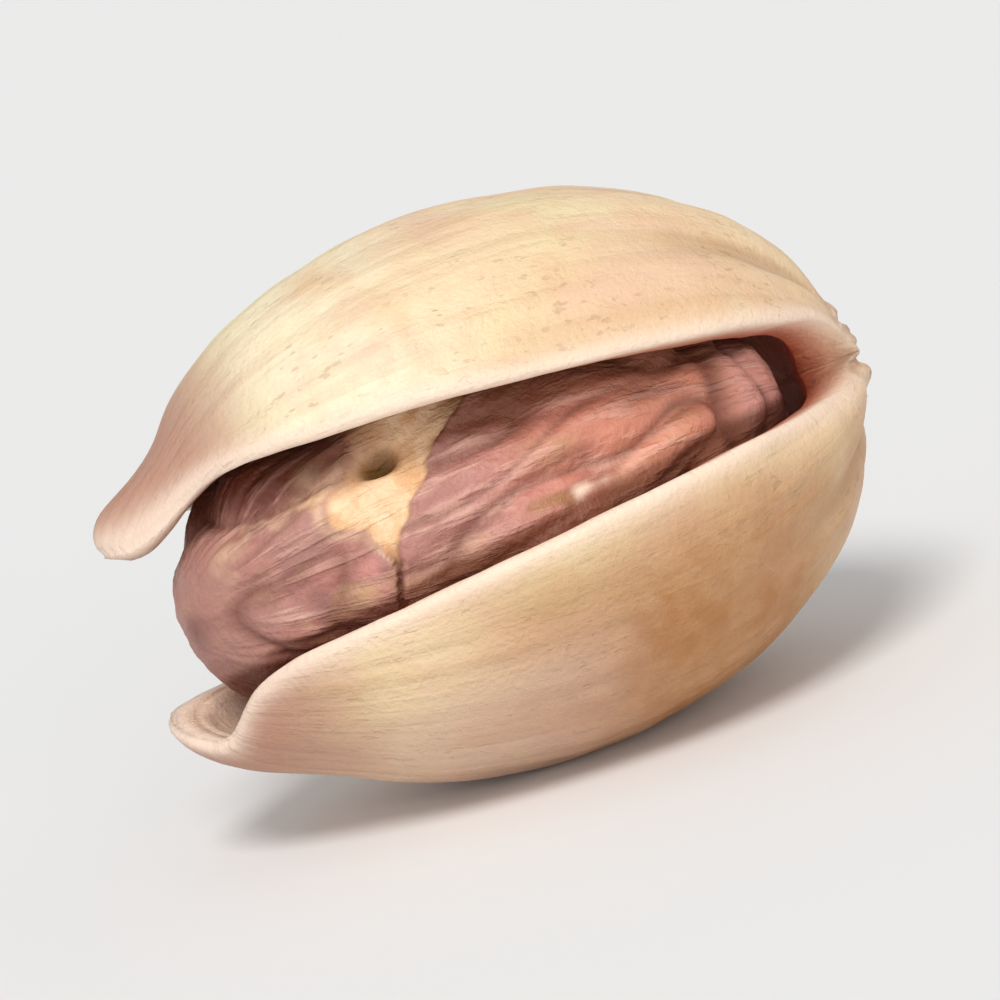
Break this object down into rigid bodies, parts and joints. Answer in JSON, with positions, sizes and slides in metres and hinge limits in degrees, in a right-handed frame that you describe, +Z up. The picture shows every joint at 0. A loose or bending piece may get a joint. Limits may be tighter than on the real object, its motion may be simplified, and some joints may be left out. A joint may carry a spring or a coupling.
{
  "type": "pistachio in shell",
  "caption": "Dry pistachio nut lying on its belly, its pale ribbed shell split from the tips back to the stem end and gaping, with the wrinkled brown-pink seed showing in the split.",
  "frame": {"origin": "on the surface the nut lies on, under the middle of its bounding box", "axes": "+X along the nut from its tips to its stem end, +Z up, the split widest and facing -Y"},
  "size_m": [0.0192, 0.0128, 0.0134],
  "materials": {
    "shell": "hard woody nutshell, smooth and matt with a faint sheen, cream to tan",
    "kernel": "thin dry wrinkled seed skin, matt, brown-pink to mauve, torn in one place"
  },
  "bodies": {
    "root": {"shell": "shell", "kernel": "kernel"}
  },
  "joints": []
}
